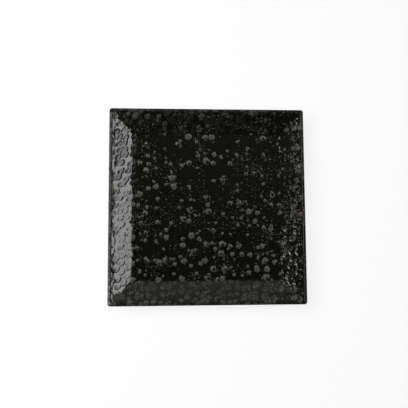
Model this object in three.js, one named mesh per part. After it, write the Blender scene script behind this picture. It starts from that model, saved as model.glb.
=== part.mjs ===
// A square stoneware plate: a pressed clay pan with four sloped sides, a bevelled lip and a square foot ring, under
// three coats of black glaze. Millimetres, +Z up, origin on the table under the middle of the plate.
//
// The whole plate is one cross-section carried round a rounded square. The section is a chain of arcs, each given
// by its centre and by the directions in which its surface faces, and straight runs join one arc to the next. The
// clay is the same chain drawn one coat deeper, so that clay and glaze share one surface all the way.

import * as THREE from 'three';

// Driving dimensions of the finished plate
const PLATE_SIDE = 210; // over the lip, from side to side
const PLATE_HEIGHT = 22.5; // from the table to the crest of the lip
const WELL_SIDE = 157; // the flat floor of the well
const FLOOR_THICKNESS = 6; // clay and both coats, through the well
const CORNER_RADIUS = 3; // of the plate's four corners, seen from above

// The rim's section
const BEND_RADIUS = 7; // between the well and a slope, on the face
const UNDER_BEND_RADIUS = 12; // the same bend on the underside
const CREST_RADIUS = 0.8; // the tight roll from a slope over the top of the lip
const CREST_TURN = 32; // degrees by which the lip's outer face slants down
const LIP_FACE = 2.8; // width of that face, between the crest and the outer edge
const LIP_RADIUS = 1.2; // the roll round the outer edge

// The foot ring
const FOOT_HEIGHT = 4; // from the table to the underside
const FOOT_SIDE = 138; // over the outer wall
const FOOT_WIDTH = 6; // from the outer wall to the inner wall
const FOOT_CORNER_RADIUS = 7; // of the ring's four corners, seen from below
const FOOT_FILLET_RADIUS = 1.2; // between the walls and the underside
const FOOT_EDGE_RADIUS = 0.8; // where the walls meet the table

// The glaze
const GLAZE_THICKNESS = 0.6; // of each coat
const BARE_BAND = 0.5; // wiped clean on the foot's walls, above the eased edge
const LIP_SEAM = -25; // degrees from level at which the face coat ends under the outer edge

// Fineness of the facets
const ARC_STEP = 12; // most degrees of turn per facet along the section
const CORNER_STEPS = 6; // facets round each corner

const { degToRad, radToDeg, lerp } = THREE.MathUtils;

// The direction that faces a number of degrees above level, away from the plate's middle
const facing = (angle) => new THREE.Vector2(Math.cos(degToRad(angle)), Math.sin(degToRad(angle)));

// A point of the section: its distance from the plate's middle, its height and the corner radius of its ring
const sectionPoint = (out, up, corner = 0) => ({ out, up, corner });

// Walks along a chain of arcs, a given depth under the finished surface. A hollow arc has a negative radius.
function trace(chain, depth = 0) {
  return chain.flatMap(({ centre, radius, from, to, corner }) => {
    const steps = Math.ceil(Math.abs(to - from) / ARC_STEP);
    return Array.from({ length: steps + 1 }, (_, step) => {
      const way = facing(lerp(from, to, step / steps));
      return sectionPoint(centre.x + way.x * (radius - depth), centre.y + way.y * (radius - depth), corner);
    });
  });
}

// The face runs out of the well, up a slope, over the crest, down the lip's slanted face and round the outer edge
// to the seam.
const wellFloor = FOOT_HEIGHT + FLOOR_THICKNESS;
const crestToLip = facing(90 - CREST_TURN)
  .multiplyScalar(CREST_RADIUS - LIP_RADIUS)
  .addScaledVector(facing(-CREST_TURN), LIP_FACE);
const crestCentre = new THREE.Vector2(PLATE_SIDE / 2 - LIP_RADIUS - crestToLip.x, PLATE_HEIGHT - CREST_RADIUS);
const lipCentre = crestCentre.clone().add(crestToLip);
const bendCentre = new THREE.Vector2(WELL_SIDE / 2, wellFloor + BEND_RADIUS);

// A slope is the straight line that touches the bend from below and the crest from above.
const bendToCrest = crestCentre.clone().sub(bendCentre);
const bothRadii = BEND_RADIUS + CREST_RADIUS;
const slopeLength = Math.sqrt(bendToCrest.lengthSq() - bothRadii ** 2);
const riseToCrest = Math.atan2(bendToCrest.y, bendToCrest.x);
const slopeAngle = radToDeg(riseToCrest + Math.atan2(bothRadii, slopeLength));

const faceChain = [
  { centre: bendCentre, radius: -BEND_RADIUS, from: 90, to: 90 + slopeAngle },
  { centre: crestCentre, radius: CREST_RADIUS, from: 90 + slopeAngle, to: 90 - CREST_TURN },
  { centre: lipCentre, radius: LIP_RADIUS, from: 90 - CREST_TURN, to: LIP_SEAM },
].map((arc) => ({ ...arc, corner: CORNER_RADIUS }));

// The back runs on from the seam, down the outside of the slope, which lies parallel to its face, and along the
// underside to the foot's outer wall.
const underFacing = facing(slopeAngle - 90);
const underBendHeight = FOOT_HEIGHT + UNDER_BEND_RADIUS;
const radiusChange = LIP_RADIUS - UNDER_BEND_RADIUS;
const underDrop = lipCentre.y - underBendHeight + radiusChange * underFacing.y;
const underLength = underDrop / Math.sin(degToRad(slopeAngle));
const underBendCentre = lipCentre
  .clone()
  .addScaledVector(underFacing, radiusChange)
  .addScaledVector(facing(slopeAngle), -underLength);

const footOutside = FOOT_SIDE / 2;
const footInside = footOutside - FOOT_WIDTH;
const filletReach = GLAZE_THICKNESS + FOOT_FILLET_RADIUS;
const filletHeight = FOOT_HEIGHT - FOOT_FILLET_RADIUS;
const footFillet = (out, from, to) => ({
  centre: new THREE.Vector2(out, filletHeight),
  radius: -FOOT_FILLET_RADIUS,
  from,
  to,
  corner: FOOT_CORNER_RADIUS,
});

const backChain = [
  { centre: lipCentre, radius: LIP_RADIUS, from: LIP_SEAM, to: slopeAngle - 90, corner: CORNER_RADIUS },
  {
    centre: underBendCentre,
    radius: UNDER_BEND_RADIUS,
    from: slopeAngle - 90,
    to: -90,
    corner: CORNER_RADIUS,
  },
  footFillet(footOutside + filletReach, -90, 0),
];
const recessChain = [footFillet(footInside - filletReach, -180, -90)];

// The foot's bare bottom, whose edges are eased
const footEdge = (out, from, to) => ({
  centre: new THREE.Vector2(out, FOOT_EDGE_RADIUS),
  radius: FOOT_EDGE_RADIUS,
  from,
  to,
  corner: FOOT_CORNER_RADIUS,
});
const footChain = [
  footEdge(footOutside - FOOT_EDGE_RADIUS, 0, -90),
  footEdge(footInside + FOOT_EDGE_RADIUS, -90, -180),
];

// Where the coats end on the foot's walls: the glaze thins out over a height equal to its thickness.
const glazeLine = FOOT_EDGE_RADIUS + BARE_BAND;
const glazeFull = glazeLine + GLAZE_THICKNESS;
const outerLine = sectionPoint(footOutside, glazeLine, FOOT_CORNER_RADIUS);
const innerLine = sectionPoint(footInside, glazeLine, FOOT_CORNER_RADIUS);
const outerFull = sectionPoint(footOutside + GLAZE_THICKNESS, glazeFull, FOOT_CORNER_RADIUS);
const innerFull = sectionPoint(footInside - GLAZE_THICKNESS, glazeFull, FOOT_CORNER_RADIUS);

// A square with rounded corners round the plate's middle, anticlockwise as seen from above
function roundedSquare(out, corner) {
  const ring = [];
  for (let quarter = 0; quarter < 4; quarter += 1) {
    const diagonal = facing(90 * quarter + 45).multiplyScalar((out - corner) * Math.SQRT2);
    for (let step = 0; step <= CORNER_STEPS; step += 1) {
      const way = facing(90 * (quarter + step / CORNER_STEPS));
      ring.push(diagonal.clone().addScaledVector(way, corner));
    }
  }
  return ring;
}

// Carries a closed outline round the plate, one ring per point. A point in the middle of the plate is a pole.
function squareLathe(outline) {
  const positions = [];
  const rings = outline.map(({ out, up, corner }) => {
    const ring = out === 0 ? [new THREE.Vector2()] : roundedSquare(out, corner);
    const first = positions.length / 3;
    ring.forEach(({ x, y }) => positions.push(x, y, up));
    return ring.map((_, place) => first + place);
  });

  const faces = [];
  rings.forEach((ring, index) => {
    const next = rings[(index + 1) % rings.length];
    for (let side = 0; side < Math.max(ring.length, next.length); side += 1) {
      const [here, after] = [ring[side % ring.length], ring[(side + 1) % ring.length]];
      const [across, diagonal] = [next[side % next.length], next[(side + 1) % next.length]];
      if (across !== diagonal) faces.push(here, across, diagonal);
      if (here !== after) faces.push(here, diagonal, after);
    }
  });

  const geometry = new THREE.BufferGeometry();
  geometry.setAttribute('position', new THREE.Float32BufferAttribute(positions, 3));
  geometry.setIndex(faces);
  geometry.computeVertexNormals();
  return geometry;
}

const stoneware = new THREE.MeshStandardMaterial({ color: 0x6b5a4a, roughness: 0.9, metalness: 0 });
const blackGlaze = new THREE.MeshStandardMaterial({ color: 0x141412, roughness: 0.12, metalness: 0 });

function piece(name, outline, material) {
  const mesh = new THREE.Mesh(squareLathe(outline), material);
  mesh.name = name;
  return mesh;
}

// Heights in the middle of the plate, from the top down
const middle = (up) => sectionPoint(0, up);
const faceMiddle = middle(wellFloor);
const clayFaceMiddle = middle(wellFloor - GLAZE_THICKNESS);
const clayRecessMiddle = middle(FOOT_HEIGHT + GLAZE_THICKNESS);
const recessMiddle = middle(FOOT_HEIGHT);

// The clay's surface under each coat
const clayFace = trace(faceChain, GLAZE_THICKNESS);
const clayBack = trace(backChain, GLAZE_THICKNESS);
const clayRecess = trace(recessChain, GLAZE_THICKNESS);

// The clay pan, from the middle of the well over the lip and round the foot to the middle of the recess
const stonewareBody = piece(
  'stoneware_body',
  [
    clayFaceMiddle,
    ...clayFace,
    ...clayBack,
    outerLine,
    ...trace(footChain),
    innerLine,
    ...clayRecess,
    clayRecessMiddle,
  ],
  stoneware,
);

// Each coat goes out along its finished surface and comes back along the clay.
const faceGlaze = piece(
  'face_glaze',
  [faceMiddle, ...trace(faceChain), ...clayFace.toReversed(), clayFaceMiddle],
  blackGlaze,
);
const backGlaze = piece(
  'back_glaze',
  [...trace(backChain), outerFull, outerLine, ...clayBack.toReversed()],
  blackGlaze,
);
const footWellGlaze = piece(
  'foot_well_glaze',
  [innerFull, ...trace(recessChain), recessMiddle, clayRecessMiddle, ...clayRecess.toReversed(), innerLine],
  blackGlaze,
);

const squarePlate = new THREE.Group();
squarePlate.name = 'square_plate';
squarePlate.add(stonewareBody, faceGlaze, backGlaze, footWellGlaze);

export default squarePlate;
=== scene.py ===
# %% [markdown]
# # A square plate in spotted black glaze
#
# The real plate is one piece of fired clay under a thick coat of black glass. While the glass was
# molten, iron rose to its surface and froze there as hundreds of matt grey spots. The clay comes to us
# as a measured model, which is our fixed frame. In this lesson we make the glass that covers it, the
# bare clay of the foot, and a small studio.

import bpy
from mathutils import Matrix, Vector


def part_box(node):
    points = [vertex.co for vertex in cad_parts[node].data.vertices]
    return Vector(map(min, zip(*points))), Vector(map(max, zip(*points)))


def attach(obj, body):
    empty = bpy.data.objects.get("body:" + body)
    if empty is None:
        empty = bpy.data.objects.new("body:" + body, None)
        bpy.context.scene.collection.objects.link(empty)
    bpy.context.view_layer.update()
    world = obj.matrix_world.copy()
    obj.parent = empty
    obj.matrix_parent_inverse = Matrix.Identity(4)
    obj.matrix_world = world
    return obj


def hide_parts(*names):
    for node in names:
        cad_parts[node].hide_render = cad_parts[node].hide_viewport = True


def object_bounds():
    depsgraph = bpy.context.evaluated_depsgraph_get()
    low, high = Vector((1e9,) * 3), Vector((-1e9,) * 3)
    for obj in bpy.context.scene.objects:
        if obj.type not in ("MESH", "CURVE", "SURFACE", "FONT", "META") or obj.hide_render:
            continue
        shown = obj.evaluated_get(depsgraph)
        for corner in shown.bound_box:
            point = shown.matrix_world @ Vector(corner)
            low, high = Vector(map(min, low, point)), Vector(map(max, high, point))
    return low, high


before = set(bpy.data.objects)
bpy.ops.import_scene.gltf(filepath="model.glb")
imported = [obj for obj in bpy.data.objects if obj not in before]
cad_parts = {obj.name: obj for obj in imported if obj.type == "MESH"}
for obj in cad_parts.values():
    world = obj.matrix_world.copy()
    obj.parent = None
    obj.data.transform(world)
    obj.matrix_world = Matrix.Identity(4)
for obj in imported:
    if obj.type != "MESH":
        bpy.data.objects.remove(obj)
cad_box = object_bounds()
print("nodes of the frame:", sorted(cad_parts))

# %% [markdown]
# ## Sizes
#
# Whatever the frame can tell us, we ask it. A box round each node gives the plate's side and height,
# the levels of the well and of the underside, and the thickness of a coat of glaze. The radii of the
# bends don't show in a box, so they are written here, in metres, as they were chosen for the plate.

# %% Sizes from the frame and radii of the section
import math

import bpy
import numpy as np
from mathutils import Matrix, Vector

MM = 0.001

plate_half = cad_box[1].x
crest_height = cad_box[1].z
glaze_thickness = crest_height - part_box("stoneware_body")[1].z
well_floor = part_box("face_glaze")[0].z + glaze_thickness
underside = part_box("foot_well_glaze")[1].z - glaze_thickness
foot_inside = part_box("foot_well_glaze")[1].x
glaze_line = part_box("foot_well_glaze")[0].z

WELL_HALF = 78.5 * MM
CORNER_RADIUS = 3 * MM
BEND_RADIUS = 7 * MM
UNDER_BEND_RADIUS = 12 * MM
CREST_RADIUS = 0.8 * MM
CREST_TURN = 32  # degrees by which the lip's outer face slants down
LIP_FACE = 2.8 * MM
LIP_RADIUS = 1.2 * MM
LIP_SEAM = -25  # degrees from level at which the face coat ends
FOOT_WIDTH = 6 * MM
FOOT_CORNER_RADIUS = 7 * MM
FOOT_FILLET_RADIUS = 1.2 * MM

foot_outside = foot_inside + FOOT_WIDTH
print(f"plate {2 * plate_half / MM:.1f} mm wide, {crest_height / MM:.1f} mm high")
print(f"well floor at {well_floor / MM:.2f} mm, coat {glaze_thickness / MM:.2f} mm thick")

# %% [markdown]
# ## The section of the plate
#
# Cut through the middle, the plate shows one long line: out along the well, up a slope, over the lip,
# down the outside and in along the underside. We keep that line as a chain of arcs, and straight runs
# join them up. Complex numbers make this short: the real part is the distance from the middle and the
# imaginary part is the height, so a direction is one exponential and moving along it is a sum.

# %% The chain of arcs


def facing(degrees):
    return np.exp(1j * np.radians(degrees))


crest_to_lip = (CREST_RADIUS - LIP_RADIUS) * facing(90 - CREST_TURN) + LIP_FACE * facing(-CREST_TURN)
crest = complex(plate_half - LIP_RADIUS - crest_to_lip.real, crest_height - CREST_RADIUS)
lip = crest + crest_to_lip
bend = complex(WELL_HALF, well_floor + BEND_RADIUS)

# A slope touches the bend from below and the crest from above.
both_radii = BEND_RADIUS + CREST_RADIUS
slope_length = math.sqrt(abs(crest - bend) ** 2 - both_radii**2)
slope = np.degrees(np.angle(crest - bend) + math.atan2(both_radii, slope_length))

# Its underside is parallel to it.
lip_to_under = (LIP_RADIUS - UNDER_BEND_RADIUS) * facing(slope - 90)
under_drop = lip.imag - underside - UNDER_BEND_RADIUS + lip_to_under.imag
under_length = under_drop / facing(slope).imag
under_bend = lip + lip_to_under - under_length * facing(slope)

fillet_reach = glaze_thickness + FOOT_FILLET_RADIUS
fillet_height = underside - FOOT_FILLET_RADIUS
outer_fillet = complex(foot_outside + fillet_reach, fillet_height)
inner_fillet = complex(foot_inside - fillet_reach, fillet_height)

# Each arc is its centre, its radius, which is negative in a hollow, the directions in which its
# surface faces at both ends, and the corner radius of the rings through it.
face_chain = [
    (bend, -BEND_RADIUS, 90, 90 + slope, CORNER_RADIUS),
    (crest, CREST_RADIUS, 90 + slope, 90 - CREST_TURN, CORNER_RADIUS),
    (lip, LIP_RADIUS, 90 - CREST_TURN, LIP_SEAM, CORNER_RADIUS),
]
back_chain = [
    (lip, LIP_RADIUS, LIP_SEAM, slope - 90, CORNER_RADIUS),
    (under_bend, UNDER_BEND_RADIUS, slope - 90, -90, CORNER_RADIUS),
    (outer_fillet, -FOOT_FILLET_RADIUS, -90, 0, FOOT_CORNER_RADIUS),
]
recess_chain = [(inner_fillet, -FOOT_FILLET_RADIUS, -90, -180, FOOT_CORNER_RADIUS)]
print(f"the slopes rise at {slope:.1f} degrees and are {slope_length / MM:.1f} mm long")

# %% [markdown]
# A coat's outline goes out along the finished surface and comes back along the clay, one coat deeper.
# The way out is drawn finely, because it is seen. The way back is hidden, so a few points for each arc
# will do. In the well the rings are sharp squares, and they take the plate's corner radius just before
# the bend.

# %% Outlines of the three coats
FINE_ARC = 24
HIDDEN_ARC = 3
SQUARE_WELL = 70 * MM


def trace(chain, points, depth=0.0):
    """Walks a chain of arcs, some depth under its finished surface.

    Each row is a distance out, a height and a corner radius.
    """
    rows = []
    for centre, radius, start, end, corner in chain:
        arc = centre + (radius - depth) * facing(np.linspace(start, end, points))
        rows.append(np.column_stack([arc.real, arc.imag, np.full(points, corner)]))
    return np.vstack(rows)


def outline(before, chain, after):
    """The finished surface of a coat and, in the opposite direction, its hidden surface."""
    finished = np.vstack([before, trace(chain, FINE_ARC), after])
    hidden = trace(chain, HIDDEN_ARC, glaze_thickness)[::-1]
    return finished, hidden


def glaze_end(wall, side):
    """A coat runs out on the foot's wall over a height equal to its thickness."""
    full = [wall + side * glaze_thickness, glaze_line + glaze_thickness, FOOT_CORNER_RADIUS]
    return np.array([full, [wall, glaze_line, FOOT_CORNER_RADIUS]])


def lengths_along(path):
    steps = np.hypot(*np.diff(path[:, :2], axis=0).T)
    return np.concatenate([[0.0], np.cumsum(steps)])


well = np.array([[0.0, well_floor, 0.0], [SQUARE_WELL, well_floor, 0.0]])
recess = np.array([[0.0, underside, 0.0], [foot_inside - 2 * FOOT_CORNER_RADIUS, underside, 0.0]])
nothing = np.empty((0, 3))
face_outline = outline(well, face_chain, nothing)
back_outline = outline(nothing, back_chain, glaze_end(foot_outside, 1))
recess_outline = outline(recess, recess_chain, glaze_end(foot_inside, -1))

# The crest and the lip are the last two arcs of the face.
face_lengths = lengths_along(face_outline[0])
face_reach = face_lengths[-1]
crest_starts = face_lengths[-2 * FINE_ARC]
recess_reach = lengths_along(recess_outline[0])[-1]
print(f"from the middle of the well to the seam under the lip: {face_reach / MM:.1f} mm")

# %% [markdown]
# ## Sheets that will be folded
#
# Glaze lies on the plate as a sheet of paper lies on a tray. So each coat starts as a flat sheet, as
# long from its middle to its edge as the outline is, and Geometry Nodes fold it over the outline. A
# grid is the right sheet for a square plate: its points at the same distance from the middle, measured
# along an axis, form a square ring, and every ring of the plate is a square too. There is no pole and
# no pinch in the well. Over the tight roll of the lip the lines of the grid lie closer together.

# %% Flat sheets
SKIN_STEP = 0.84 * MM
LIP_STEP = 0.3 * MM
BACK_STEP = 1.0 * MM


def grid_lines(stops):
    """Grid lines across a sheet. From its middle they go to each stop in turn, at a step of their own."""
    half = np.zeros(1)
    for stop, step in stops:
        count = math.ceil((stop - half[-1]) / step)
        half = np.concatenate([half, np.linspace(half[-1], stop, count + 1)[1:]])
    return np.concatenate([-half[:0:-1], half])


def edge_of_square(count):
    """Grid places round the edge of a grid from -count to count, anticlockwise."""
    run = np.arange(-count, count)
    low, high = np.full(2 * count, -count), np.full(2 * count, count)
    return np.concatenate([run, high, -run, low]), np.concatenate([low, run, high, -run])


def quads_between(first, second):
    return np.column_stack([first, second, np.roll(second, -1), np.roll(first, -1)]).tolist()


def hidden_lengths(finished, hidden):
    """How far along the whole outline the points of its hidden surface lie."""
    return lengths_along(np.vstack([finished, hidden]))[len(finished):]


def sheet_object(name, flat_points, faces):
    mesh = bpy.data.meshes.new(name)
    level = np.zeros(len(flat_points))
    mesh.from_pydata(np.column_stack([flat_points, level]).tolist(), [], faces)
    sheet = bpy.data.objects.new(name, mesh)
    bpy.context.scene.collection.objects.link(sheet)
    return sheet


def whole_sheet(name, finished, hidden, lines, face_up):
    """A grid for the finished surface, rings beyond its edge for the hidden one, and a cap."""
    count = len(lines) // 2
    across, along = np.meshgrid(lines, lines, indexing="ij")
    number = np.arange(across.size).reshape(across.shape)
    corners = [number[:-1, :-1], number[1:, :-1], number[1:, 1:], number[:-1, 1:]]
    faces = np.stack(corners, -1).reshape(-1, 4).tolist()

    edge_x, edge_y = edge_of_square(count)
    last = number[edge_x + count, edge_y + count]
    points = [np.column_stack([across.ravel(), along.ravel()])]
    edge = np.column_stack([lines[edge_x + count], lines[edge_y + count]]) / lines[-1]
    total = number.size
    for distance in hidden_lengths(finished, hidden):
        points.append(edge * distance)
        ring = total + np.arange(len(edge_x))
        faces += quads_between(last, ring)
        total += len(edge_x)
        last = ring
    faces.append(last[::-1].tolist())
    if not face_up:
        faces = [face[::-1] for face in faces]
    return sheet_object(name, np.vstack(points), faces)


def ring_sheet(name, finished, hidden, outer):
    """Rings from an outer edge inwards, for a coat with a hole in it. The last ring joins the first."""
    reach = lengths_along(finished)[-1]
    seen = np.linspace(0, reach, 1 + round(reach / BACK_STEP))
    ways = np.concatenate([seen, hidden_lengths(finished, hidden)])
    count = round(outer / BACK_STEP)
    edge = np.column_stack(edge_of_square(count)) / count
    points = np.vstack([edge * (outer - way) for way in ways])
    rings = np.arange(len(points)).reshape(len(ways), -1)
    faces = []
    for ring, following in zip(rings, np.roll(rings, -1, axis=0)):
        faces += quads_between(ring, following)
    return sheet_object(name, points, faces)


face_lines = grid_lines([(crest_starts - LIP_STEP, SKIN_STEP), (face_reach, LIP_STEP)])
face_sheet = whole_sheet("glaze_face", *face_outline, face_lines, face_up=True)
back_sheet = ring_sheet("glaze_back", *back_outline, outer=face_reach)
recess_lines = grid_lines([(recess_reach, BACK_STEP)])
recess_sheet = whole_sheet("glaze_recess", *recess_outline, recess_lines, face_up=False)
for flat_sheet in (face_sheet, back_sheet, recess_sheet):
    print(flat_sheet.name, "sheet:", len(flat_sheet.data.polygons), "faces")

# %% [markdown]
# ## Node maths in plain Python
#
# Both the relief and the colours of the glaze come from node trees, and a tree written out node by node
# is hard to read. A `Wire` stands for one socket. Sums and products of wires add Math nodes to the tree
# on their own, so a formula looks like a formula. A `Bench` is the tree that we work on, with one
# method that adds any other node.

# %% A wire and a bench
NOISE_DETAIL = 2.0


class Wire:
    """An output socket on a bench. Operators on it add Math nodes."""

    def __init__(self, bench, socket):
        self.bench = bench
        self.socket = socket

    def __add__(self, other):
        return self.bench.maths("ADD", self, other)

    def __sub__(self, other):
        return self.bench.maths("SUBTRACT", self, other)

    def __rsub__(self, other):
        return self.bench.maths("SUBTRACT", other, self)

    def __mul__(self, other):
        return self.bench.maths("MULTIPLY", self, other)

    def __truediv__(self, other):
        return self.bench.maths("DIVIDE", self, other)

    def __rtruediv__(self, other):
        return self.bench.maths("DIVIDE", other, self)

    __radd__ = __add__
    __rmul__ = __mul__


class Bench:
    """A node tree with the few ways in which this lesson adds to it."""

    def __init__(self, tree):
        self.tree = tree
        self.tree.nodes.clear()

    def node(self, kind, settings=None, sockets=None):
        """Adds a node, sets it up, fills or links its sockets, and returns its outputs."""
        node = self.tree.nodes.new(kind)
        for name, value in (settings or {}).items():
            setattr(node, name, value)
        inputs = {socket.identifier: socket for socket in node.inputs}
        for name, value in (sockets or {}).items():
            if isinstance(value, Wire):
                self.tree.links.new(value.socket, inputs[name])
            else:
                inputs[name].default_value = value
        return {socket.identifier: Wire(self, socket) for socket in node.outputs}

    def maths(self, operation, *values):
        sockets = dict(zip(["Value", "Value_001"], values))
        return self.node("ShaderNodeMath", {"operation": operation}, sockets)["Value"]

    def highest(self, *values):
        result = values[0]
        for value in values[1:]:
            result = self.maths("MAXIMUM", result, value)
        return result

    def vector(self, operation, first, second):
        sockets = {"Vector": first, "Vector_001": second}
        return self.node("ShaderNodeVectorMath", {"operation": operation}, sockets)["Vector"]

    def scaled(self, vector, amount):
        sockets = {"Vector": vector, "Scale": amount}
        return self.node("ShaderNodeVectorMath", {"operation": "SCALE"}, sockets)["Vector"]

    def length(self, vector):
        return self.node("ShaderNodeVectorMath", {"operation": "LENGTH"}, {"Vector": vector})["Value"]

    def point(self, x, y, z=0.0):
        return self.node("ShaderNodeCombineXYZ", None, {"X": x, "Y": y, "Z": z})["Vector"]

    def split(self, vector):
        parts = self.node("ShaderNodeSeparateXYZ", None, {"Vector": vector})
        return parts["X"], parts["Y"], parts["Z"]

    def square_reach(self, place):
        """The distance from the middle of the sheet, along the axis on which it is longer."""
        x, y, _ = self.split(place)
        return self.highest(self.maths("ABSOLUTE", x), self.maths("ABSOLUTE", y))

    def ease(self, value, start, end):
        """Goes softly from 0 at start to 1 at end, whichever of the two is larger."""
        sockets = {"Value": value, "From Min": start, "From Max": end}
        return self.node("ShaderNodeMapRange", {"interpolation_type": "SMOOTHSTEP"}, sockets)["Result"]

    def blend(self, amount, first, second):
        """Mixes two colours."""
        sockets = {"Factor_Float": amount, "A_Color": first, "B_Color": second}
        return self.node("ShaderNodeMix", {"data_type": "RGBA"}, sockets)["Result_Color"]

    def noise(self, place, size):
        sockets = {"Vector": place, "Scale": 1 / size, "Detail": NOISE_DETAIL}
        return self.node("ShaderNodeTexNoise", {"noise_dimensions": "2D"}, sockets)


print("the bench is ready")

# %% [markdown]
# ## One layer of spots
#
# An oil spot starts as a bubble. It bursts, iron oxide gathers round it, and the hole heals over, so
# spots differ in size, some have a dark hole, and many are drawn out or run together. The hole lies
# towards the lower edge, where it also stands in for the shade on the spot's lower side, and the upper
# rim is made paler as a painted highlight. Voronoi cells give one random spot per cell, and the cell's
# colour is three dice: one is compared with the share of spots that we want, one says how large the
# spot is and one how pale. A cell can also hold a lump of thick glaze, as on the slopes.

# %% Spots
SEAM = (0.02, 0.1)
DOME_WIDTH = 1.2
LUMP_WIDTH = 0.5
LUMP_HEIGHT = 0.55
# Holes sit low in each spot, where they also stand in for painted shade.
HOLE_EDGE = (0.6, 0.3)
HOLE_LEFT = 0.15
HOLE_TOP = 0.1
HOLE_SPREAD = 0.7
# The upper rim of each spot is made paler: a painted highlight.
HIGHLIGHT_SIDE_RANGE = (-0.7, 0.5)
HIGHLIGHT_RIM = (0.3, 0.8)
PAINTED_HIGHLIGHT = 1.02
CRYSTAL_EDGE = 0.12


class Spots:
    """One layer of spots. A spot is measured in its own radius, a lump in the pitch of the cells."""

    def __init__(self, bench, where, ragged, shift, pitch, least, most, randomness):
        self.bench = bench
        moved = bench.vector("ADD", where, (shift, shift, 0.0))
        sockets = {"Vector": moved, "Scale": 1 / pitch, "Randomness": randomness}
        cells = bench.node("ShaderNodeTexVoronoi", {"voronoi_dimensions": "2D"}, sockets)
        to_edge = {"voronoi_dimensions": "2D", "feature": "DISTANCE_TO_EDGE"}
        seams = bench.node("ShaderNodeTexVoronoi", to_edge, sockets)
        self.apart = bench.ease(seams["Distance"], *SEAM)
        self.chance, size, self.tone = bench.split(cells["Color"])
        radius = least + (most - least) * size * size
        self.away = cells["Distance"] * pitch / radius + ragged
        self.from_middle = cells["Distance"] / LUMP_WIDTH
        self.offset = bench.vector("SUBTRACT", moved, cells["Position"])
        self.right, self.ahead, _ = bench.split(bench.scaled(self.offset, 1 / pitch))
        # The upper side of the spot, which gets the painted highlight.
        self.painted_highlight_side = bench.ease(self.ahead * pitch / radius, *HIGHLIGHT_SIDE_RANGE)
        hole_middle = bench.point(self.chance - HOLE_LEFT, HOLE_TOP - HOLE_SPREAD * self.tone)
        inside = bench.scaled(self.offset, 1 / radius)
        from_hole = bench.length(bench.vector("SUBTRACT", inside, hole_middle))
        self.hole = bench.ease(from_hole, *HOLE_EDGE)
        self.there = 1.0

    def keep(self, share):
        """Keeps only a share of the spots."""
        self.there = self.bench.maths("LESS_THAN", self.chance, share)

    def disc(self, edge, size=1.0):
        return self.there * self.apart * self.bench.ease(self.away, size + edge, size - edge)

    def dome(self):
        """A rounded cap with a steep edge, a little wider than the crystals on it."""
        cap = self.bench.maths("MAXIMUM", 1 - self.away * self.away / DOME_WIDTH**2, 0.0)
        return self.there * self.bench.maths("SQRT", cap)

    def lump(self, sideways, sag):
        """A cap that fills its cell and sags forwards and sideways, so that it laps over the next one."""
        cap = self.bench.maths("MAXIMUM", 1 - self.from_middle * self.from_middle, 0.0)
        return self.bench.maths("SQRT", cap) * (LUMP_HEIGHT + sag * (sideways * self.right - self.ahead))

    def healed(self, whole):
        """0 in a bubble's hole near the lower edge, also painted shade. A share of the spots is whole."""
        return 1 - self.hole * self.bench.maths("GREATER_THAN", self.tone, whole)

    def crystal(self, inside, whole):
        """Dim inside, a painted highlight on the upper rim, and black in the hole, also painted shade."""
        # The paleness of the upper rim is a painted highlight.
        rim = self.bench.ease(self.away, *HIGHLIGHT_RIM) * self.painted_highlight_side
        return self.disc(CRYSTAL_EDGE) * (inside + (PAINTED_HIGHLIGHT - inside) * rim) * self.healed(whole)


print("a layer of spots is ready")

# %% [markdown]
# ## Zones of the glaze
#
# The glaze isn't alike everywhere. In the well the small spots lie closer towards the right. The far
# slope has a dusting and a few dim pebbles, and the near slope is covered with pebbles. The lumps swell
# most on the upper left and the lower right. Over the crest of the lip, and on the outer part of the
# near slope, the glaze is thin and dull. The lumps end along a wavering line before the lip's outer
# face, which is calm on the right. Zones say all of this, and most of them go softly from 0 to 1.

# %% Zones
ON_SLOPE = (77 * MM, 82 * MM)
LEFT = (-60 * MM, -84 * MM)
RIGHT = (68 * MM, 78 * MM)
NEAR = (-70 * MM, -84 * MM)
FAR = (70 * MM, 84 * MM)
UPPER = (-10 * MM, 30 * MM)
TOWARDS_LOWER_RIGHT = (70 * MM, 165 * MM)
RIGHT_MITRE = (-4 * MM, 4 * MM)
NEAR_MITRE = (-3 * MM, 3 * MM)
OUTER = (88 * MM, 99 * MM)
RIM = (98 * MM, 105 * MM)
INNER = (95 * MM, 88 * MM)
DRY = (95 * MM, 106 * MM)
THICK = (86 * MM, 100 * MM)
CREST_INSIDE = (103.8 * MM, 104.8 * MM)
CREST_OUTSIDE = (106.6 * MM, 105.6 * MM)
THIN_NEAR = 0.8

WAVER_SIZE = 7 * MM
WAVER = 9 * MM
WAVER_MORE_LEFT = 7 * MM
LIP = (103.5 * MM, 106.5 * MM)
LIP_EARLIER_RIGHT = 3.5 * MM
LIP_LATER_LEFT = 0.8 * MM
LUMPS_START = (76 * MM, 83 * MM)
LUMPS_EARLIER_LEFT = 5 * MM
LUMPS_END = (101.5 * MM, 104.5 * MM)
LUMPS_END_WAVER = 0.6
LUMPS_LOST = 0.75

SIDEWAYS_FULL = -85 * MM
CROWD_SIZE = 26 * MM
CROWD_PER_METRE = 1.5
CROWD_LEFT = 0.13
LEFT_OF_MIDDLE = (-30 * MM, -70 * MM)


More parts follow.
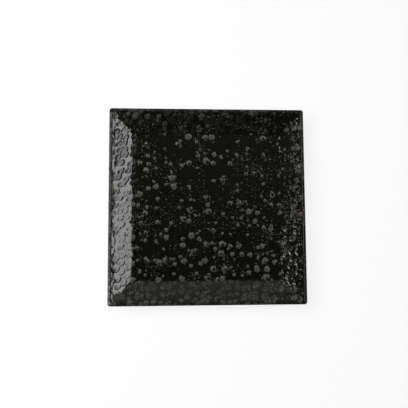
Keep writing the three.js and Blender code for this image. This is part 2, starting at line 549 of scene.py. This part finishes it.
class Zones:
    """Where a place of the unrolled glaze lies. Upper and lower are meant as the camera sees them."""

    def __init__(self, bench, place):
        x, y, _ = bench.split(place)
        reach = bench.square_reach(place)
        self.on_slope = bench.ease(reach, *ON_SLOPE)
        self.left = bench.ease(x, *LEFT)
        self.right = bench.ease(x, *RIGHT)
        self.near = bench.ease(y, *NEAR)
        self.far = bench.ease(y, *FAR)
        self.upper_left = self.left * bench.ease(y, *UPPER)
        self.lower_right = bench.ease(x - y, *TOWARDS_LOWER_RIGHT) * bench.ease(x + y, *RIGHT_MITRE)
        self.inner_right = self.right * bench.ease(x, *INNER)
        mitred = bench.ease(x - y, *NEAR_MITRE) * bench.ease(x + y, *reversed(NEAR_MITRE))
        self.outer_near = self.near * mitred * bench.ease(reach, *OUTER)
        self.rim = bench.ease(reach, *RIM)
        self.dry = bench.ease(reach, *DRY) * (1 - self.right)
        crest_band = bench.ease(reach, *CREST_INSIDE) * bench.ease(reach, *CREST_OUTSIDE)
        self.thin = bench.highest(crest_band, THIN_NEAR * self.outer_near)

        waver = (bench.noise(place, WAVER_SIZE)["Fac"] - 0.5) * (WAVER + WAVER_MORE_LEFT * self.left)
        wavering = reach + waver + LIP_EARLIER_RIGHT * self.right - LIP_LATER_LEFT * self.left
        self.lip = bench.ease(wavering, *LIP)
        self.calm = 1 - self.right * self.lip
        self.thick = bench.ease(reach, *THICK) * (1 - self.lip)
        ending = bench.ease(reach + LUMPS_END_WAVER * waver, *LUMPS_END)
        starting = bench.ease(reach + LUMPS_EARLIER_LEFT * self.left, *LUMPS_START)
        self.risen = starting * (1 - LUMPS_LOST * ending)

        self.sideways = x / SIDEWAYS_FULL
        self.diagonal = bench.point(x + y, x + y)
        crowd = bench.noise(place, CROWD_SIZE)["Fac"] + CROWD_PER_METRE * x
        self.crowd = crowd + CROWD_LEFT * bench.ease(x, *LEFT_OF_MIDDLE)

    def weigh(self, everywhere, **amounts):
        """A sum of zones, each times its amount, on top of what counts everywhere."""
        total = everywhere
        for zone, amount in amounts.items():
            total = total + amount * getattr(self, zone)
        return total


print("zones are ready")

# %% [markdown]
# ## The whole pattern
#
# Five layers make up the pattern: large spots in the well, pebbles on the slopes, scales for the lumps
# of the left slope, small spots and dust. Noise pushes most of them about and frays the edges of all,
# and a stretch along one diagonal draws out the pebbles and the scales. Whether a large spot or a
# pebble lies in the well is looked up at the middle of its cell, so the border of the well cuts none in
# two. The relief and the colours must agree on where the spots are, so both ask `OilSpots`.

# %% Five layers of spots
DRIFT_SIZE = 3.0 * MM
DRIFT = 3.0 * MM
RAGGED_SIZE = 1.3 * MM
RAGGED = 0.75

# The shift, in metres, gives each layer a part of the Voronoi pattern to itself.
LARGE = {"shift": 1.3, "pitch": 9.0 * MM, "least": 1.5 * MM, "most": 3.8 * MM, "randomness": 1.0}
PEBBLES = {"shift": 3.9, "pitch": 6.6 * MM, "least": 2.1 * MM, "most": 3.6 * MM, "randomness": 0.8}
SCALES = {"shift": 1.7, "pitch": 6.3 * MM, "least": 2.0 * MM, "most": 2.9 * MM, "randomness": 0.75}
SMALL = {"shift": 2.9, "pitch": 5.2 * MM, "least": 0.7 * MM, "most": 1.6 * MM, "randomness": 1.0}
DUST = {"shift": 4.7, "pitch": 2.1 * MM, "least": 0.32 * MM, "most": 0.65 * MM, "randomness": 1.0}
PEBBLE_STRETCH = -0.09
SCALE_STRETCH = -0.17

WELL_ENDS = 81 * MM
LARGE_SHARE = 0.56
LARGE_FEWER_PER_METRE = 1.9
PEBBLE_SHARE = 0.94
FAR_DUST_LOST = 0.7
FAR_DUST = 0.14

# How pale each layer is, and which share of its spots has no hole
LARGE_CRYSTAL = {"inside": 0.4, "whole": 0.4}
PEBBLE_CRYSTAL = {"inside": 0.7, "whole": 0.85}
FAR_PEBBLES = 0.42
FAR_PEBBLE_TONES = (0.36, 0.12)
SMALL_PALENESS = 0.25
SMALL_VARIES = 0.5
DUST_PALENESS = 0.2
# How much brighter the palest dust grows: painted glints.
DUST_PAINTED_GLINTS = 1.4
SOFT_EDGE = 0.15
DUST_EDGE = 0.25

# How matt each layer is
PEBBLES_MATT = 0.35
PEBBLE_HEART = {"edge": 0.35, "size": 0.6}
SCALE_HEART = {"edge": 0.3, "size": 0.95}
SMALL_MATT = 0.7

# How much each layer swells
PEBBLE_SAG = 0.6
SCALE_SAG = 0.7
LUMPS_LOST_ON_LIP = 0.7
THICK_SWELL = 0.3
LARGE_SWELL = 0.2
PEBBLE_EDGES = 0.8
DUST_SWELL = 0.3
GRIT_LOST_UPPER_LEFT = 0.6


class OilSpots:
    """The five layers of spots at a place of the unrolled glaze."""

    def __init__(self, bench, place):
        self.bench = bench
        zones = Zones(bench, place)
        self.zones = zones
        drift = bench.vector("SUBTRACT", bench.noise(place, DRIFT_SIZE)["Color"], (0.5, 0.5, 0.5))
        drifted = bench.vector("ADD", place, bench.scaled(drift, DRIFT))
        ragged = RAGGED * (bench.noise(place, RAGGED_SIZE)["Fac"] - 0.5)

        def drawn_out(where, amount):
            return bench.vector("ADD", where, bench.scaled(zones.diagonal, amount))

        def layer(where, sizes):
            return Spots(bench, where, ragged, **sizes)

        def middle_of(spots):
            return bench.vector("SUBTRACT", place, spots.offset)

        self.large = layer(drifted, LARGE)
        middle = middle_of(self.large)
        _, ahead, _ = bench.split(middle)
        in_well = bench.maths("LESS_THAN", bench.square_reach(middle), WELL_ENDS)
        self.large.keep((LARGE_SHARE - LARGE_FEWER_PER_METRE * ahead) * in_well)

        self.pebbles = layer(drawn_out(drifted, PEBBLE_STRETCH), PEBBLES)
        middle = middle_of(self.pebbles)
        on_sides = bench.maths("GREATER_THAN", bench.square_reach(middle), WELL_ENDS)
        crowded = zones.weigh(1.0, right=-0.36, inner_right=-0.55, lower_right=-0.35)
        self.pebbles.keep(PEBBLE_SHARE * on_sides * crowded)

        self.scales = layer(drawn_out(place, SCALE_STRETCH), SCALES)

        self.small = layer(drifted, SMALL)
        self.small.keep(zones.weigh(-0.38, crowd=1.1, on_slope=0.3, near=-0.24, right=-0.12, far=-0.28))

        self.dust = layer(place, DUST)
        dusty = zones.weigh(-0.76, crowd=2.0, near=-0.28, right=-0.15)
        self.dust.keep(dusty * (1 - FAR_DUST_LOST * zones.far) + FAR_DUST * zones.far)

        self.swell = zones.weigh(0.4, left=0.13, upper_left=0.33, lower_right=0.68, outer_near=0.2)
        self.paleness = zones.weigh(0.1, near=0.16, outer_near=0.3, right=0.5, rim=0.24)

    def crystals(self):
        """How much pale crystal lies in the glass, plus painted highlights and glints."""
        small = self.small.disc(SOFT_EDGE) * (SMALL_PALENESS + SMALL_VARIES * self.small.tone)
        # The palest dust is brightened as painted glints, more so on the slopes.
        painted_glint = self.dust.tone * self.dust.tone * (1 + self.zones.on_slope)
        dust = self.dust.disc(DUST_EDGE) * (DUST_PALENESS + DUST_PAINTED_GLINTS * painted_glint)
        showing = FAR_PEBBLES * self.zones.far * self.bench.ease(self.pebbles.tone, *FAR_PEBBLE_TONES)
        pebbles = self.pebbles.crystal(**PEBBLE_CRYSTAL) * (self.paleness + showing)
        return self.bench.highest(self.large.crystal(**LARGE_CRYSTAL), pebbles, small, dust)

    def matt(self):
        """Where the skin is crystal rather than glass."""
        large = self.large.disc(SOFT_EDGE) * self.large.healed(LARGE_CRYSTAL["whole"])
        pebbles = PEBBLES_MATT * self.pebbles.disc(**PEBBLE_HEART)
        scales = self.scales.disc(**SCALE_HEART) * self.zones.weigh(0.0, left=0.45, upper_left=0.35)
        small = SMALL_MATT * self.small.disc(SOFT_EDGE)
        return self.zones.calm * self.bench.highest(large, pebbles, scales, small)

    def domes(self):
        """How much the larger spots and the lumps swell."""
        zones = self.zones
        fine = self.pebbles.lump(zones.sideways, PEBBLE_SAG) * (1 - zones.left)
        coarse = self.scales.lump(zones.sideways, SCALE_SAG) * zones.left
        lumps = self.swell * (fine + coarse) * (1 - LUMPS_LOST_ON_LIP * zones.lip) * zones.calm
        lumps = lumps + THICK_SWELL * zones.thick
        return self.bench.highest(LARGE_SWELL * self.large.dome(), lumps * zones.risen)

    def grit(self):
        """The swell of the smaller spots, and the steep edges of the pebbles on the near slope."""
        pebbles = PEBBLE_EDGES * self.zones.near * self.pebbles.dome()
        finest = self.bench.highest(self.small.dome(), DUST_SWELL * self.dust.dome(), pebbles)
        return self.swell * (1 - GRIT_LOST_UPPER_LEFT * self.zones.upper_left) * self.zones.calm * finest


print("five layers of spots are ready")

# %% [markdown]
# ## Black glass and grey crystals
#
# The glass itself is almost black and as smooth as water, so nearly all that we see of it is what it
# reflects. The crystals are matt and a dull grey that drifts towards olive and brown. One Principled
# shader does both, with a colour and a roughness that follow the cover of the spots and with a faint
# haze in the glass. Where the glaze is thin, a dull brown is mixed in.

# %% The glaze
UNROLLED = "unrolled"
GLASS_BLACK = (0.0014, 0.0014, 0.0003, 1)
CRYSTAL_GREY = (0.093, 0.092, 0.080, 1)
CRYSTAL_OLIVE = (0.090, 0.092, 0.074, 1)
CRYSTAL_BROWN = (0.097, 0.090, 0.077, 1)
THIN_BROWN = (0.012, 0.011, 0.009, 1)
HUE_SIZE = 21 * MM
OLIVE_HUES = (0.52, 0.68)
BROWN_HUES = (0.46, 0.34)
GRAIN_SIZE = 1.0 * MM
CRYSTAL_COVER = 0.56
CRYSTAL_GRAIN = 0.9
HAZE_SIZE = 1.7 * MM
HAZE = 0.075
HAZE_PATCHES = (0.48, 0.75)
PEEL_SIZE = 1.6 * MM
LUMP_BUMP = 0.25 * MM
GRIT_BUMP = 0.2 * MM
PEEL_BUMP = 0.012 * MM
GRAIN_BUMP = 0.02 * MM
GLASS_ROUGHNESS = 0.08
CRYSTAL_ROUGHER = 0.26
DRY_ROUGHER = 0.1
GLASS_IOR = 1.5
THIN_DULL = 0.42


def new_material(name):
    material = bpy.data.materials.new(name)
    material.use_nodes = True
    return material, Bench(material.node_tree)


def bumped(bench, height):
    sockets = {"Strength": 1.0, "Distance": 1.0, "Height": height}
    return bench.node("ShaderNodeBump", None, sockets)["Normal"]


def principled(bench, sockets):
    return bench.node("ShaderNodeBsdfPrincipled", None, sockets)["BSDF"]


def diffuse_surface(bench, color):
    return bench.node("ShaderNodeBsdfDiffuse", None, {"Color": color})["BSDF"]


def mixed(bench, factor, first, second):
    sockets = {"Fac": factor, "Shader": first, "Shader_001": second}
    return bench.node("ShaderNodeMixShader", None, sockets)["Shader"]


def finish_material(bench, surface):
    bench.node("ShaderNodeOutputMaterial", None, {"Surface": surface})


def glaze_material():
    material, bench = new_material("spotted_black_glaze")
    place = bench.node("ShaderNodeAttribute", {"attribute_name": UNROLLED})["Vector"]
    spots = OilSpots(bench, place)
    hue = bench.noise(place, HUE_SIZE)["Fac"]
    crystal = bench.blend(bench.ease(hue, *OLIVE_HUES), CRYSTAL_GREY, CRYSTAL_OLIVE)
    crystal = bench.blend(bench.ease(hue, *BROWN_HUES), crystal, CRYSTAL_BROWN)

    grain = bench.noise(place, GRAIN_SIZE)["Fac"]
    haze = HAZE * bench.ease(bench.noise(place, HAZE_SIZE)["Fac"], *HAZE_PATCHES)
    cover = haze + spots.crystals() * (CRYSTAL_COVER + CRYSTAL_GRAIN * grain)
    matt = spots.matt()
    peel = bench.noise(place, PEEL_SIZE)["Fac"]
    swelling = LUMP_BUMP * spots.domes() + GRIT_BUMP * spots.grit() * spots.zones.on_slope
    texture = PEEL_BUMP * peel + GRAIN_BUMP * grain * matt
    skin = principled(
        bench,
        {
            "Base Color": bench.blend(cover, GLASS_BLACK, crystal),
            "Roughness": GLASS_ROUGHNESS + CRYSTAL_ROUGHER * matt + DRY_ROUGHER * spots.zones.dry,
            "Normal": bumped(bench, swelling + texture),
            "IOR": GLASS_IOR,
        },
    )
    dull = diffuse_surface(bench, THIN_BROWN)
    finish_material(bench, mixed(bench, THIN_DULL * spots.zones.thin, skin, dull))
    return material


glaze = glaze_material()
print("glaze nodes:", len(glaze.node_tree.nodes))

# %% [markdown]
# ## Folding a sheet over its outline
#
# The tree below does to a sheet what gravity does to glaze. A point's distance from the middle of the
# sheet says how far along the outline it lies. Sample Curve looks up that place, whose distance out and
# height give the ring, and a little trigonometry rounds the ring's corners. Then each point moves along
# its normal by the relief of the spots. The flat place is stored first, as `unrolled`, so that the
# material can find the same spots again.

# %% The folding tree
SPOT_HEIGHT = 1.0 * MM
WAVE_HEIGHT = 0.08 * MM
WAVE_SIZE = 9 * MM
RELIEF_FADE = 1.5 * MM
SKIN = "skin"
TINY = 1e-6  # keeps divisions clear of zero

FOLD_INPUTS = {
    "Sheet": "NodeSocketGeometry",
    "Outline": "NodeSocketObject",
    "Outline Starts": "NodeSocketFloat",
    "Direction": "NodeSocketFloat",
    "Relief Starts": "NodeSocketFloat",
    "Relief Ends": "NodeSocketFloat",
    "Spot Height": "NodeSocketFloat",
    "Wave Height": "NodeSocketFloat",
    "Glaze": "NodeSocketMaterial",
}


def new_tree(name, inputs):
    tree = bpy.data.node_groups.new(name, "GeometryNodeTree")
    for socket_name, kind in inputs.items():
        tree.interface.new_socket(name=socket_name, in_out="INPUT", socket_type=kind)
    tree.interface.new_socket(name="Geometry", in_out="OUTPUT", socket_type="NodeSocketGeometry")
    bench = Bench(tree)
    entry = bench.node("NodeGroupInput")
    sockets = [socket for socket in tree.interface.items_tree if socket.in_out == "INPUT"]
    return bench, {socket.name: entry[socket.identifier] for socket in sockets}


def store(bench, geometry, name, kind, value):
    settings = {"data_type": kind, "domain": "POINT"}
    sockets = {"Geometry": geometry, "Name": name, "Value": value}
    return bench.node("GeometryNodeStoreNamedAttribute", settings, sockets)["Geometry"]


def stored(bench, name, kind):
    return bench.node("GeometryNodeInputNamedAttribute", {"data_type": kind}, {"Name": name})["Attribute"]


def rounded_ring(bench, flat, reach, out, corner):
    """Where a point of the sheet lies on its ring, a square with rounded corners."""
    corner = bench.maths("MINIMUM", corner, out)
    straight = out - corner
    share = out / bench.maths("MAXIMUM", reach, TINY)
    sides = [bench.maths("ABSOLUTE", way) * share for way in flat]
    past = [bench.maths("MAXIMUM", side - straight, 0.0) for side in sides]
    turn = math.pi / 4 * (1 + (past[1] - past[0]) / bench.maths("MAXIMUM", corner, TINY))
    rounded = []
    for way, side, wave in zip(flat, sides, ("COSINE", "SINE")):
        length = bench.maths("MINIMUM", side, straight) + corner * bench.maths(wave, turn)
        rounded.append(bench.maths("SIGN", way) * length)
    return rounded


def folding_tree():
    bench, given = new_tree("fold_glaze", FOLD_INPUTS)
    flat_place = bench.node("GeometryNodeInputPosition")["Position"]
    flat_x, flat_y, _ = bench.split(flat_place)
    reach = bench.square_reach(flat_place)
    along = (reach - given["Outline Starts"]) * given["Direction"]
    section = bench.node("GeometryNodeObjectInfo", None, {"Object": given["Outline"]})["Geometry"]
    corner_radius = bench.node("GeometryNodeInputRadius")["Radius"]
    sample = bench.node(
        "GeometryNodeSampleCurve",
        {"mode": "LENGTH", "data_type": "FLOAT"},
        {"Curves": section, "Value": corner_radius, "Length": along},
    )
    out, _, up = bench.split(sample["Position"])
    ring_x, ring_y = rounded_ring(bench, (flat_x, flat_y), reach, out, sample["Value"])
    folded_place = bench.point(ring_x, ring_y, up)

    # The finished side is smooth and has relief, which fades towards its ends.
    starts, ends = given["Relief Starts"], given["Relief Ends"]
    finished = bench.maths("GREATER_THAN", along, starts) * bench.maths("LESS_THAN", along, ends)
    fading = bench.ease(along, starts, starts + RELIEF_FADE) * bench.ease(along, ends, ends - RELIEF_FADE)
    noted = store(bench, given["Sheet"], UNROLLED, "FLOAT_VECTOR", flat_place)
    smooth = {"Geometry": noted, "Shade Smooth": finished}
    smoothed = bench.node("GeometryNodeSetShadeSmooth", {"domain": "FACE"}, smooth)["Geometry"]
    noted = store(bench, smoothed, SKIN, "FLOAT", fading)
    moving = {"Geometry": noted, "Position": folded_place}
    folded = bench.node("GeometryNodeSetPosition", None, moving)["Geometry"]

    place = stored(bench, UNROLLED, "FLOAT_VECTOR")
    spots = OilSpots(bench, place)
    wave = bench.noise(place, WAVE_SIZE)["Fac"] - 0.5
    lift = given["Spot Height"] * spots.domes() + given["Wave Height"] * wave * (1 + spots.zones.on_slope)
    normal = bench.node("GeometryNodeInputNormal")["Normal"]
    lifting = {"Geometry": folded, "Offset": bench.scaled(normal, lift * stored(bench, SKIN, "FLOAT"))}
    raised = bench.node("GeometryNodeSetPosition", None, lifting)["Geometry"]

    real = bench.node("GeometryNodeRealizeInstances", None, {"Geometry": raised})["Geometry"]
    dressing = {"Geometry": real, "Material": given["Glaze"]}
    dressed = bench.node("GeometryNodeSetMaterial", None, dressing)["Geometry"]
    bench.node("NodeGroupOutput", None, {bench.tree.interface.items_tree["Geometry"].identifier: dressed})
    return bench.tree


fold_tree = folding_tree()
print("folding nodes:", len(fold_tree.nodes))

# %% [markdown]
# The outline goes into the tree as a curve object, whose point radius carries the corner radius of the
# ring. It is only a tool, so it is thrown away once the sheet has been folded. The back coat starts at
# the lip's seam, where the face coat ends, and its distances run inwards, so the spots carry on from
# one coat to the other.

# %% Fold the three coats
OUTWARDS = 1.0
INWARDS = -1.0
NO_FADE = -1.0  # the relief starts before the middle of the sheet


def outline_curve(path):
    curve = bpy.data.curves.new("outline", "CURVE")
    curve.dimensions = "3D"
    spline = curve.splines.new("POLY")
    spline.points.add(len(path) - 1)
    for point, (out, up, corner) in zip(spline.points, path):
        point.co = (out, 0, up, 1)
        point.radius = corner
    tool = bpy.data.objects.new("outline", curve)
    bpy.context.scene.collection.objects.link(tool)
    return tool


def fold(sheet, finished, hidden, starts, direction, relief_starts, node):
    tool = outline_curve(np.vstack([finished, hidden]))
    modifier = sheet.modifiers.new("fold", "NODES")
    modifier.node_group = fold_tree
    values = {
        "Outline": tool,
        "Outline Starts": starts,
        "Direction": direction,
        "Relief Starts": relief_starts,
        "Relief Ends": lengths_along(finished)[-1],
        "Spot Height": SPOT_HEIGHT,
        "Wave Height": WAVE_HEIGHT,
        "Glaze": glaze,
    }
    for socket in fold_tree.interface.items_tree:
        if socket.name in values:
            modifier[socket.identifier] = values[socket.name]
    evaluated = sheet.evaluated_get(bpy.context.evaluated_depsgraph_get())
    flat_mesh = sheet.data
    coat_mesh = bpy.data.meshes.new_from_object(evaluated)
    sheet.modifiers.clear()
    sheet.data = coat_mesh
    coat_mesh.name = sheet.name
    bpy.data.meshes.remove(flat_mesh)
    bpy.data.objects.remove(tool)
    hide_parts(node)
    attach(sheet, "root")
    coat_mesh.calc_loop_triangles()
    print(sheet.name, "has", len(coat_mesh.loop_triangles), "triangles")


fold(face_sheet, *face_outline, 0.0, OUTWARDS, NO_FADE, "face_glaze")
fold(back_sheet, *back_outline, face_reach, INWARDS, 0.0, "back_glaze")
fold(recess_sheet, *recess_outline, 0.0, OUTWARDS, NO_FADE, "foot_well_glaze")

# %% [markdown]
# ## Bare clay
#
# The foot was wiped clean so that it wouldn't stick to the kiln shelf. What shows there is stoneware: a
# dark grey-brown clay with sandy grains and fine pits. The measured node keeps its shape and gets this
# material.

# %% Stoneware
CLAY_BROWN = (0.105, 0.078, 0.058, 1)
CLAY_GREY = (0.060, 0.052, 0.045, 1)
SAND = (0.30, 0.25, 0.19, 1)
IRON = (0.018, 0.013, 0.010, 1)
CLOUDS = {"Scale": 90.0, "Detail": 4.0}
CLOUD_PATCHES = (0.35, 0.65)
SAND_SCALE = 1400.0
GRAINS_ABOVE = 0.86
GRAIN_EDGE = (0.45, 0.2)
GRAIN_COVER = 0.6
SPECKS_BELOW = 0.08
SPECK_EDGE = (0.5, 0.25)
TOOTH = {"Scale": 2600.0, "Detail": 3.0}
TOOTH_BUMP = 0.05 * MM
SAND_BUMP = 0.06 * MM
SPECK_PIT = 0.05 * MM
CLAY_ROUGHNESS = 0.78
TOOTH_ROUGHER = 0.2


def clay_material():
    material, bench = new_material("bare_stoneware")
    place = bench.node("ShaderNodeTexCoord")["Object"]
    clouds = bench.node("ShaderNodeTexNoise", None, {"Vector": place, **CLOUDS})["Fac"]
    tooth = bench.node("ShaderNodeTexNoise", None, {"Vector": place, **TOOTH})["Fac"]
    cells = bench.node("ShaderNodeTexVoronoi", None, {"Vector": place, "Scale": SAND_SCALE})
    chance, _, _ = bench.split(cells["Color"])
    grains = bench.maths("GREATER_THAN", chance, GRAINS_ABOVE) * bench.ease(cells["Distance"], *GRAIN_EDGE)
    specks = bench.maths("LESS_THAN", chance, SPECKS_BELOW) * bench.ease(cells["Distance"], *SPECK_EDGE)
    colour = bench.blend(bench.ease(clouds, *CLOUD_PATCHES), CLAY_GREY, CLAY_BROWN)
    colour = bench.blend(GRAIN_COVER * grains, colour, SAND)
    colour = bench.blend(specks, colour, IRON)
    surface = principled(
        bench,
        {
            "Base Color": colour,
            "Roughness": CLAY_ROUGHNESS + TOOTH_ROUGHER * tooth,
            "Normal": bumped(bench, TOOTH_BUMP * tooth + SAND_BUMP * grains - SPECK_PIT * specks),
        },
    )
    finish_material(bench, surface)
    return material


clay = clay_material()
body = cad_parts["stoneware_body"]
body.data.materials.clear()
body.data.materials.append(clay)
print("clay nodes:", len(clay.node_tree.nodes))

# %% [markdown]
# ## The studio
#
# The plate lies on a white table. Its floor glows a little for the camera and in reflections, so that
# it comes out white while the plate's shadow still shows.

# %% Floor
WHITE = (1, 1, 1, 1)
FLOOR_WHITE = (0.94, 0.94, 0.94, 1)
FLOOR_HALF = 3.0
FLOOR_CORNERS = [(-1, -1), (1, -1), (1, 1), (-1, 1)]
GLOW_STRENGTH = 1.04
GLOW_SHARE = 0.78


def table_material():
    material, bench = new_material("white_table")
    glow = {"Color": WHITE, "Strength": GLOW_STRENGTH}
    glowing = bench.node("ShaderNodeEmission", None, glow)["Emission"]
    ray = bench.node("ShaderNodeLightPath")
    seen = bench.highest(ray["Is Camera Ray"], ray["Is Glossy Ray"], ray["Is Transmission Ray"])
    plain = diffuse_surface(bench, FLOOR_WHITE)
    finish_material(bench, mixed(bench, seen * GLOW_SHARE, plain, glowing))
    return material


floor_mesh = bpy.data.meshes.new("table")
floor_points = [(FLOOR_HALF * x, FLOOR_HALF * y, 0) for x, y in FLOOR_CORNERS]
floor_mesh.from_pydata(floor_points, [], [(0, 1, 2, 3)])
floor_mesh.materials.append(table_material())
floor = bpy.data.objects.new("table", floor_mesh)
bpy.context.scene.collection.objects.link(floor)
print("floor", 2 * FLOOR_HALF, "m wide")

# %% [markdown]
# A black, glossy thing is lit by what it mirrors, so most of the lamps below are there only to be
# mirrored. A large soft box on the right is what the left slope shows, and a dim card behind the plate
# gives the near slope its grey sheen. A wall of light on the left and a dim card in front show in the
# lip. A bright strip beside the wall and a small lamp high behind the plate give the lumps their
# glints. The key and the fill light the crystals and the table, and the glaze doesn't mirror them.

# %% Lamps


def on_dome(azimuth, elevation, distance):
    """A place seen from the plate in a compass direction, counted from +X, and at a height in degrees."""
    level = math.cos(math.radians(elevation))
    turn = math.radians(azimuth)
    height = math.sin(math.radians(elevation))
    return distance * Vector((level * math.cos(turn), level * math.sin(turn), height))


def soft_box(name, place, width, height, radiance, diffuse=True, glossy=True):
    """A rectangular lamp that faces the plate. Its power is its brightness times its area times pi."""
    light = bpy.data.lights.new(name, "AREA")
    light.shape = "RECTANGLE"
    light.size = width
    light.size_y = height
    light.energy = radiance * width * height * math.pi
    lamp = bpy.data.objects.new(name, light)
    lamp.location = place
    lamp.rotation_euler = (-place).to_track_quat("-Z", "Y").to_euler()
    lamp.visible_diffuse = diffuse
    lamp.visible_glossy = glossy
    bpy.context.scene.collection.objects.link(lamp)


soft_box("key", on_dome(166, 47, 1.2), 0.6, 0.6, radiance=6.8, glossy=False)
soft_box("fill", on_dome(165, 80, 1.5), 1.5, 1.5, radiance=1.5, glossy=False)
soft_box("glint", on_dome(124, 60, 1.2), 0.24, 0.24, radiance=5.0)
soft_box("side", on_dome(7, 36, 0.9), 0.96, 0.42, radiance=6.2, diffuse=False)
soft_box("card", on_dome(90, 46, 0.9), 1.3, 0.74, radiance=0.31, diffuse=False)
soft_box("front", on_dome(270, 20, 0.9), 1.0, 0.34, radiance=0.15, diffuse=False)
soft_box("wall", on_dome(180, 11, 0.9), 1.4, 0.34, radiance=1.5, diffuse=False)
soft_box("strip", on_dome(212, 15, 0.9), 0.5, 0.44, radiance=8.0, diffuse=False)

# %% [markdown]
# The room round the lamps is dark, a little less so behind the plate, and bright only along the
# horizon. The camera sees it white.

# %% World
ROOM_LIGHT = 0.045
LIGHT_BEHIND = 0.06
BEHIND = (-0.1, 0.25)
HORIZON_LIGHT = 0.9
HORIZON = (0.12, 0.02)

world = bpy.data.worlds.new("studio")
bpy.context.scene.world = world
world.use_nodes = True
room = Bench(world.node_tree)
_, backward, upward = room.split(room.node("ShaderNodeTexCoord")["Generated"])
dim_light = ROOM_LIGHT + LIGHT_BEHIND * room.ease(backward, *BEHIND)
room_light = dim_light + HORIZON_LIGHT * room.ease(upward, *HORIZON)
strength = room.highest(room_light, room.node("ShaderNodeLightPath")["Is Camera Ray"])
sky = room.node("ShaderNodeBackground", None, {"Color": WHITE, "Strength": strength})["Background"]
room.node("ShaderNodeOutputWorld", None, {"Surface": sky})
bpy.context.scene.view_settings.view_transform = "Standard"
print("world nodes:", len(world.node_tree.nodes))

# %% [markdown]
# ## The camera
#
# The camera looks almost straight down. Its small tilts come from the outline of the real plate, whose
# right and near sides look longer than the opposite ones.

# %% Camera
IMAGE_SIDE = 408
FOCAL_PIXELS = 525.6
CAMERA_DISTANCE = 580 * MM
CAMERA_AIM = Vector((-2.89, 3.59, 0)) * MM
TILT_X = math.radians(-5.36)
TILT_Y = math.radians(3.415)

turned = Matrix.Rotation(TILT_Y, 4, "Y") @ Matrix.Rotation(TILT_X, 4, "X")
lifted = Matrix.Translation((0, 0, CAMERA_DISTANCE))
lens = bpy.data.cameras.new("camera")
lens.lens = FOCAL_PIXELS / IMAGE_SIDE * lens.sensor_width
camera = bpy.data.objects.new("camera", lens)
camera.matrix_world = Matrix.Translation(CAMERA_AIM) @ turned.inverted() @ lifted
bpy.context.scene.collection.objects.link(camera)
bpy.context.scene.camera = camera
print("camera at", [round(value, 4) for value in camera.matrix_world.translation])
